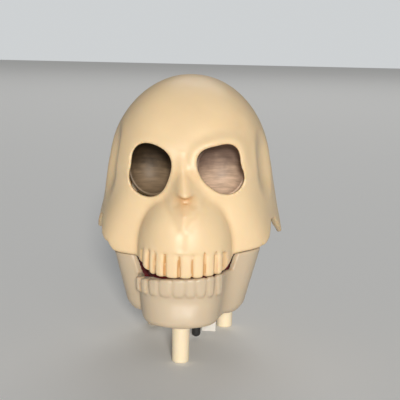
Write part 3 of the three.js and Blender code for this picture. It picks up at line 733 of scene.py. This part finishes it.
black = moulded_plastic(
    "black_plastic", (0.018, 0.018, 0.019), (0.01, 0.01, 0.01), 0.5, 0.15, 0.42, 0.08, 0.2, 0.0)
for cup in EYE_CUPS:
    # the bowl's inside, over its rounded lip and down the outside to the stem
    inner = [(6.25 * cos(a), -4.8 * sin(a)) for a in np.linspace(pi / 2, 0.06, 22)]
    outer = [(7 * cos(a), -6 * sin(a)) for a in np.linspace(0.06, 1.33, 18)]
    lip = [(6.35, 0.0), (6.62, 0.14), (6.88, 0.0)]
    stem = [(1.6, -5.9), (1.6, -9.7), (1.35, -10.0), (0, -10.0)]
    profile = [(0, inner[0][1])] + inner[1:] + lip + outer + stem
    points, faces = turned_shape(profile, 72, (0, 0, 0), (0, -1, 0))
    tilt = Matrix.Rotation(cup["side"] * 0.22, 3, "Z")
    placed = []
    for px, py, pz in points:
        stem_share = float(ease((py - 4.5) / 1.2))
        bowl = tilt @ Vector((px * 0.95, py, pz * 1.08))
        straight = Vector((px, py, pz))
        spot = bowl.lerp(straight, stem_share)
        placed.append((spot.x + cup["x"], spot.y - 7.3, spot.z + cup["z"]))
    new_piece(f"eye_bowl_{cup['name']}", placed, faces, "head",
              [f"eye_cup_{cup['name']}"], cup_paint(cup))

    # the ring pushed onto the stem behind the eye carrier
    ring = [(1.75, 1.0), (1.75, 0.0), (2.9, 0.0), (3.1, 0.2), (3.1, 0.45), (2.3, 0.8), (2.1, 1.0)]
    points, faces = turned_shape(ring, 40, (cup["x"], 1.2, cup["z"]), (0, 1, 0), ring=True)
    new_piece(f"eye_ring_{cup['name']}", points, faces, "head",
              [f"eye_retainer_{cup['name']}"], black)

# Chassis, mouth liner and lever: flat-walled mouldings with their edges broken by a small radius.
# The chassis is the shell's ivory, made paler and less orange as painted light; the liner is deep red; the
# lever that lifts the jaw is white.
# painted light: the shell's ivory lightened so that the posts, standing in shade under the head, look lit
body_ivory = moulded_plastic(
    "body_ivory", (0.86, 0.73, 0.52), (0.6, 0.40, 0.20), 0.5, 0.06, 0.40, 0.06, 0.12, 0.2)
red = moulded_plastic(
    "deep_red", (0.13, 0.006, 0.009), (0.03, 0.002, 0.002), 0.5, 0.2, 0.34, 0.08, 0.2, 0.0)
white = moulded_plastic(
    "white_plastic", (0.72, 0.69, 0.64), (0.4, 0.37, 0.33), 0.5, 0.05, 0.42, 0.06, 0.12, 0.1)


def made_solid(piece):
    """Turns a piece's modifiers into its plain mesh and takes them away."""
    solid = bpy.data.meshes.new_from_object(piece.evaluated_get(bpy.context.evaluated_depsgraph_get()))
    solid.name = piece.name
    piece.modifiers.clear()
    piece.data = solid


def softened(name, node, body, radius, material):
    """A copy of a flat-walled CAD node, its triangles merged to flats and its edges rounded."""
    mesh = bpy.data.meshes.new(name)
    form = bmesh.new()
    form.from_mesh(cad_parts[node].data)
    bmesh.ops.remove_doubles(form, verts=form.verts, dist=1e-6)
    bmesh.ops.dissolve_limit(form, angle_limit=radians(1), verts=form.verts, edges=form.edges)
    form.to_mesh(mesh)
    form.free()
    mesh.materials.clear()
    mesh.materials.append(material)
    piece = bpy.data.objects.new(name, mesh)
    bpy.context.scene.collection.objects.link(piece)
    bevel = piece.modifiers.new("edge radius", "BEVEL")
    bevel.width = radius / 1000
    bevel.segments = 2
    bevel.limit_method = "ANGLE"
    bevel.angle_limit = radians(40)
    made_solid(piece)
    piece.data.shade_smooth()
    piece.data.set_sharp_from_angle(angle=radians(35))
    settle(piece, body, [node])


softened("chassis", "inner_chassis", "head", 0.22, body_ivory)


def liner_field(x, y, z):
    """The tray behind the teeth with a lip round its edge, the upright back, and an apron that
    hangs in front of the chassis at each side."""
    floor_y = np.where(y < -9, y + 9, 0)
    oval = (np.hypot((x + 0.3) / 8.8, floor_y / 7.7) - 1) * 7.7
    oval = np.maximum(oval, y + 4.4)
    tray = np.maximum(oval, np.abs(z - 22.4) - 0.7)
    lip = np.maximum(np.maximum(oval, -(oval + 1.1)), np.abs(z - 24.3) - 2.6)
    back = box_field(x, y, z, (-14.2, -5.6, 21.7), (14.2, -4.4, 33), 0.3)
    apron = box_field(np.abs(x), y, z, (6.6, -5.6, 19.6), (12.4, -4.4, 23), 0.3)
    whole = blended(blended(tray, lip, 0.6), np.minimum(back, apron), 0.6)
    screw_holes = np.hypot(np.abs(x) - 4.2, y + 7.5) - 0.95
    return np.maximum(whole, -screw_holes)


liner = net_mesh("liner", liner_field, (-15, -17.8, 19), (15, -3.6, 33.8), 0.36)
liner.data.materials.append(red)
settle(liner, "head", ["mouth_liner"])
softened("lever", "jaw_lever", "jaw", 0.3, white)

# Posts, push rod and collar: turned shapes with rounded feet. The posts are moulded with the
# chassis colour and screwed up into its deck; the black rod slides and is stopped by its collar.
POSTS = (
    # x, y, radius of the foot
    ("front_post", -0.3, -14.1, 2.15), ("rear_post_left", -10, 19.4, 2.2), ("rear_post_right", 10, 19.4, 2.2),
)
ROD_PLACE = (2.6, 6.1)
for name, x, y, foot in POSTS:
    profile = rounded_profile([(0, 0), (foot, 0), (2.4, 18.7), (0.9, 18.7), (0.9, 12.7), (0, 12.7)], 0.45)
    points, faces = turned_shape(profile, 56, (x, y, 0), (0, 0, 1))
    new_piece(f"{name}_turned", points, faces, "head", [name], body_ivory)

rod_profile = [(1.2 * sin(a), 1.1 - 1.1 * cos(a)) for a in np.linspace(0, pi / 2, 9)]
rod_profile = [(0, 0)] + rod_profile[1:] + [(1.2, 25.45), (1.05, 25.6), (0, 25.6)]
points, faces = turned_shape(rod_profile, 40, (*ROD_PLACE, 0.5), (0, 0, 1))
new_piece("rod", points, faces, "rod", ["push_rod"], black)
collar_profile = [(1.35, 0), (2.2, 0), (2.4, 0.2), (2.4, 1.0), (2.2, 1.2), (1.35, 1.2)]
points, faces = turned_shape(collar_profile, 40, (*ROD_PLACE, 21.7), (0, 0, 1), ring=True)
new_piece("collar", points, faces, "rod", ["rod_collar"], black)

# Jaw pins and springs: plated steel. Each pin's domed head sits outside the jaw's arm; a coil
# round its shank, with one leg on the deck and one under the jaw's arm, pulls the jaw shut.


def steel_finish():
    """Bright plated steel, a little dull and clouded, with a fine uneven surface."""
    material, tree, shader = new_material("steel")
    link = tree.links.new
    place = add_node(tree, "ShaderNodeTexCoord").outputs["Object"]
    haze = add_node(tree, "ShaderNodeTexNoise", Scale=400.0, Detail=5.0, Roughness=0.7)
    link(place, haze.inputs["Vector"])
    rough = add_node(tree, "ShaderNodeMapRange", From_Min=0.3, From_Max=0.7, To_Min=0.22, To_Max=0.44)
    link(haze.outputs["Fac"], rough.inputs["Value"])
    link(rough.outputs["Result"], shader.inputs["Roughness"])
    tone = add_node(tree, "ShaderNodeMix", data_type="RGBA")
    tone.inputs[6].default_value = (0.46, 0.45, 0.43, 1)
    tone.inputs[7].default_value = (0.62, 0.62, 0.61, 1)
    link(haze.outputs["Fac"], tone.inputs["Factor"])
    link(tone.outputs[2], shader.inputs["Base Color"])
    relief = add_node(tree, "ShaderNodeBump", Distance=0.00003, Strength=0.4)
    link(haze.outputs["Fac"], relief.inputs["Height"])
    link(relief.outputs["Normal"], shader.inputs["Normal"])
    shader.inputs["Metallic"].default_value = 1.0
    return material


steel = steel_finish()
COIL_RADIUS, COIL_LENGTH, COIL_TURN = 1.9, 2.4, 7.5 * pi
WIRE_RADIUS = 0.3
for name, side in (("left", -1), ("right", 1)):
    head = [(0, 0), (1.0, 0.06), (1.6, 0.25), (1.92, 0.6), (2.0, 0.9), (2.0, 1.02), (1.9, 1.1), (1.05, 1.1)]
    shank = [(1.05, 7.95), (0.85, 8.2), (0, 8.2)]
    points, faces = turned_shape(head + shank, 40, (side * 18.0, *PIVOT), (-side, 0, 0))
    new_piece(f"pin_{name}", points, faces, "head", [f"jaw_pin_{name}"], steel)

    # the wire's middle line from the pin's middle: the leg on the deck, the coil, the jaw's leg
    path = [(0, 13.2, -9.3), (0, 9, -9.3), (0, 5, -9.3), (0, 3.4, -8.8), (0, 2.4, -7.4), (0, 1.95, -5.2)]
    path += [(0, COIL_RADIUS, -2.5)]
    path += [(COIL_LENGTH * t, COIL_RADIUS * cos(COIL_TURN * t), COIL_RADIUS * sin(COIL_TURN * t))
             for t in np.linspace(0, 1, 91)]
    path += [(COIL_LENGTH, 1.4, -1.85), (COIL_LENGTH, 3.2, -1.6), (COIL_LENGTH, 6.6, -0.9)]
    wire = bpy.data.curves.new("wire", "CURVE")
    wire.dimensions = "3D"
    wire.bevel_depth = WIRE_RADIUS / 1000
    wire.bevel_resolution = 3
    wire.use_fill_caps = True
    spline = wire.splines.new("POLY")
    spline.points.add(len(path) - 1)
    for point, (px, py, pz) in zip(spline.points, path):
        point.co = (side * (12.3 - px) / 1000, (PIVOT[0] + py + SHIFT_Y) / 1000, (PIVOT[1] + pz) / 1000, 1)
    coil = bpy.data.objects.new("coil", wire)
    bpy.context.scene.collection.objects.link(coil)
    solid = bpy.data.meshes.new_from_object(coil.evaluated_get(bpy.context.evaluated_depsgraph_get()))
    bpy.data.objects.remove(coil)
    # the wire's end caps come loose from its wall, so they are joined on
    form = bmesh.new()
    form.from_mesh(solid)
    bmesh.ops.remove_doubles(form, verts=form.verts, dist=1e-6)
    form.to_mesh(solid)
    form.free()
    solid.materials.clear()
    solid.materials.append(steel)
    solid.shade_smooth()
    spring = bpy.data.objects.new(f"spring_{name}", solid)
    bpy.context.scene.collection.objects.link(spring)
    settle(spring, "head", [f"jaw_spring_{name}"])

# Screws: small slotted pan-head self-tapping screws with a helical thread. One tree makes every
# kind: it turns a cylinder's wall into head, neck and thread, cuts the slot and sets them in place.


def screw_tree():
    """Geometry Nodes that stand one screw on each point, in millimetres turned into metres."""
    tree = bpy.data.node_groups.new("slotted_screw", "GeometryNodeTree")
    tree.interface.new_socket("Geometry", in_out="INPUT", socket_type="NodeSocketGeometry")
    for label, value in (("Length", 8.0), ("Head Radius", 1.75), ("Head Height", 1.1), ("Shank Radius", 0.7),
                         ("Thread Depth", 0.12), ("Pitch", 0.7), ("Slot Width", 0.5), ("Slot Depth", 0.5)):
        tree.interface.new_socket(label, in_out="INPUT", socket_type="NodeSocketFloat").default_value = value
    tree.interface.new_socket("Into", in_out="INPUT", socket_type="NodeSocketVector")
    tree.interface.new_socket("Seed", in_out="INPUT", socket_type="NodeSocketInt").default_value = 5
    tree.interface.new_socket("Metal", in_out="INPUT", socket_type="NodeSocketMaterial")
    tree.interface.new_socket("Geometry", in_out="OUTPUT", socket_type="NodeSocketGeometry")
    given = tree.nodes.new("NodeGroupInput").outputs
    link = tree.links.new

    def math(operation, a, b=None, c=None, **values):
        node = add_node(tree, "ShaderNodeMath", operation=operation, **values)
        for socket, value in zip(node.inputs, (a, b, c)):
            if isinstance(value, (int, float)):
                socket.default_value = value
            elif value is not None:
                link(value, socket)
        return node.outputs[0]

    # a cylinder along +Z from the head's top at 0 to the screw's tip, in millimetres
    wall = add_node(tree, "GeometryNodeMeshCylinder", fill_type="TRIANGLE_FAN")
    wall.inputs["Vertices"].default_value = 24
    wall.inputs["Side Segments"].default_value = 72
    wall.inputs["Radius"].default_value = 1.0
    link(given["Length"], wall.inputs["Depth"])
    spot = add_node(tree, "ShaderNodeSeparateXYZ")
    link(tree.nodes.new("GeometryNodeInputPosition").outputs[0], spot.inputs[0])
    down = math("ADD", spot.outputs["Z"], math("MULTIPLY", given["Length"], 0.5))
    angle = math("ARCTAN2", spot.outputs["Y"], spot.outputs["X"])
    squares = math("ADD", math("MULTIPLY", spot.outputs["X"], spot.outputs["X"]),
                   math("MULTIPLY", spot.outputs["Y"], spot.outputs["Y"]))
    is_wall = math("COMPARE", math("POWER", squares, 0.5), 1.0, 0.01)
    # the head takes the first fifth of the rings, so its dome is round
    share = math("DIVIDE", down, given["Length"])
    head_share = math("DIVIDE", share, 0.2, use_clamp=True)
    shank_share = math("DIVIDE", math("SUBTRACT", share, 0.2), 0.8, use_clamp=True)
    deep = math("MULTIPLY_ADD", shank_share, math("SUBTRACT", given["Length"], given["Head Height"]),
                math("MULTIPLY", head_share, given["Head Height"]))
    in_shank = math("GREATER_THAN", share, 0.2001)
    left = math("SUBTRACT", 1.0, math("MULTIPLY_ADD", head_share, 0.93, 0.07))
    dome = math("POWER", math("SUBTRACT", 1.0, math("POWER", left, 3.0)), 0.5)
    head_radius = math("MULTIPLY", given["Head Radius"], dome)
    # a saw-tooth wave that climbs as it goes round makes the thread, which fades out at the tip
    turns = math("ADD", math("DIVIDE", deep, given["Pitch"]), math("DIVIDE", angle, 2 * pi))
    wave = math("PINGPONG", turns, 0.5)
    near_tip = math("MULTIPLY", math("SUBTRACT", 1.0, shank_share), 9.0, use_clamp=True)
    thread = math("MULTIPLY", math("MULTIPLY", math("MULTIPLY", wave, 2.0), given["Thread Depth"]), near_tip)
    core = math("MULTIPLY", math("SUBTRACT", given["Shank Radius"], given["Thread Depth"]),
                math("MULTIPLY_ADD", near_tip, 0.45, 0.55))
    shank_radius = math("ADD", core, thread)
    radius = math("ADD", math("MULTIPLY", head_radius, math("SUBTRACT", 1.0, in_shank)),
                  math("MULTIPLY", shank_radius, in_shank))
    scale = math("MULTIPLY", radius, is_wall)
    joined = add_node(tree, "ShaderNodeCombineXYZ")
    link(math("MULTIPLY", scale, math("COSINE", angle)), joined.inputs["X"])
    link(math("MULTIPLY", scale, math("SINE", angle)), joined.inputs["Y"])
    link(deep, joined.inputs["Z"])
    shaped = tree.nodes.new("GeometryNodeSetPosition")
    link(wall.outputs["Mesh"], shaped.inputs["Geometry"])
    link(joined.outputs[0], shaped.inputs["Position"])

    # the slot
    cutter = tree.nodes.new("GeometryNodeMeshCube")
    size = add_node(tree, "ShaderNodeCombineXYZ", X=6.0)
    link(given["Slot Width"], size.inputs["Y"])
    link(math("MULTIPLY", given["Slot Depth"], 2.0), size.inputs["Z"])
    link(size.outputs[0], cutter.inputs["Size"])
    slotted = add_node(tree, "GeometryNodeMeshBoolean", operation="DIFFERENCE", solver="EXACT")
    link(shaped.outputs[0], slotted.inputs["Mesh 1"])
    link(cutter.outputs["Mesh"], slotted.inputs["Mesh 2"])
    small = tree.nodes.new("GeometryNodeTransform")
    small.inputs["Scale"].default_value = (0.001, 0.001, 0.001)
    link(slotted.outputs["Mesh"], small.inputs["Geometry"])

    # each screw points the way it is driven and is turned about itself by chance
    aim = add_node(tree, "FunctionNodeAlignRotationToVector", axis="Z")
    link(given["Into"], aim.inputs["Vector"])
    spin = tree.nodes.new("FunctionNodeRandomValue")
    spin.inputs[3].default_value = pi
    link(given["Seed"], spin.inputs["Seed"])
    own = tree.nodes.new("FunctionNodeAxisAngleToRotation")
    own.inputs["Axis"].default_value = (0, 0, 1)
    link(spin.outputs[1], own.inputs["Angle"])
    turn = add_node(tree, "FunctionNodeRotateRotation", rotation_space="LOCAL")
    link(aim.outputs[0], turn.inputs[0])
    link(own.outputs[0], turn.inputs[1])
    places = tree.nodes.new("GeometryNodeInstanceOnPoints")
    link(given["Geometry"], places.inputs["Points"])
    link(small.outputs[0], places.inputs["Instance"])
    link(turn.outputs[0], places.inputs["Rotation"])
    real = tree.nodes.new("GeometryNodeRealizeInstances")
    link(places.outputs[0], real.inputs[0])
    metal = tree.nodes.new("GeometryNodeSetMaterial")
    link(real.outputs[0], metal.inputs["Geometry"])
    link(given["Metal"], metal.inputs["Material"])
    result = tree.nodes.new("NodeGroupOutput")
    link(metal.outputs[0], result.inputs[0])
    return tree


SCREW_TREE = screw_tree()
SCREW_SETS = (
    # name, body, length, the way it is driven, tops of the heads, CAD nodes
    ("post_screws", "head", 8.0, (0, 0, -1),
     [(x, y, 21.4) for _, x, y, _ in POSTS], [f"{post[0]}_screw" for post in POSTS]),
    ("chassis_screws", "head", 9.0, (0, -1, 0),
     [(side * x, 18.7, z) for x, z in SCREW_PLACES for side in (-1, 1)],
     [f"chassis_screw_{i}" for i in (1, 2, 3, 4)]),
    ("liner_screws", "head", 4.6, (0, 0, -1),
     [(-4.2, -7.5, 24.3), (4.2, -7.5, 24.3)], ["liner_screw_1", "liner_screw_2"]),
    ("lever_screw_set", "jaw", 5.6, (0, -1, 0), [(5.9, 11.6, 27.9)], ["lever_screw"]),
)
for name, body, length, into, tops, nodes in SCREW_SETS:
    dots = bpy.data.meshes.new(name)
    dots.from_pydata([(x / 1000, (y + SHIFT_Y) / 1000, z / 1000) for x, y, z in tops], [], [])
    screws = bpy.data.objects.new(name, dots)
    bpy.context.scene.collection.objects.link(screws)
    maker = screws.modifiers.new("screws", "NODES")
    maker.node_group = SCREW_TREE
    for label, value in (("Length", length), ("Into", into), ("Metal", steel)):
        maker[SCREW_TREE.interface.items_tree[label].identifier] = value
    made_solid(screws)
    screws.data.shade_smooth()
    screws.data.set_sharp_from_angle(angle=radians(40))
    settle(screws, body, nodes)
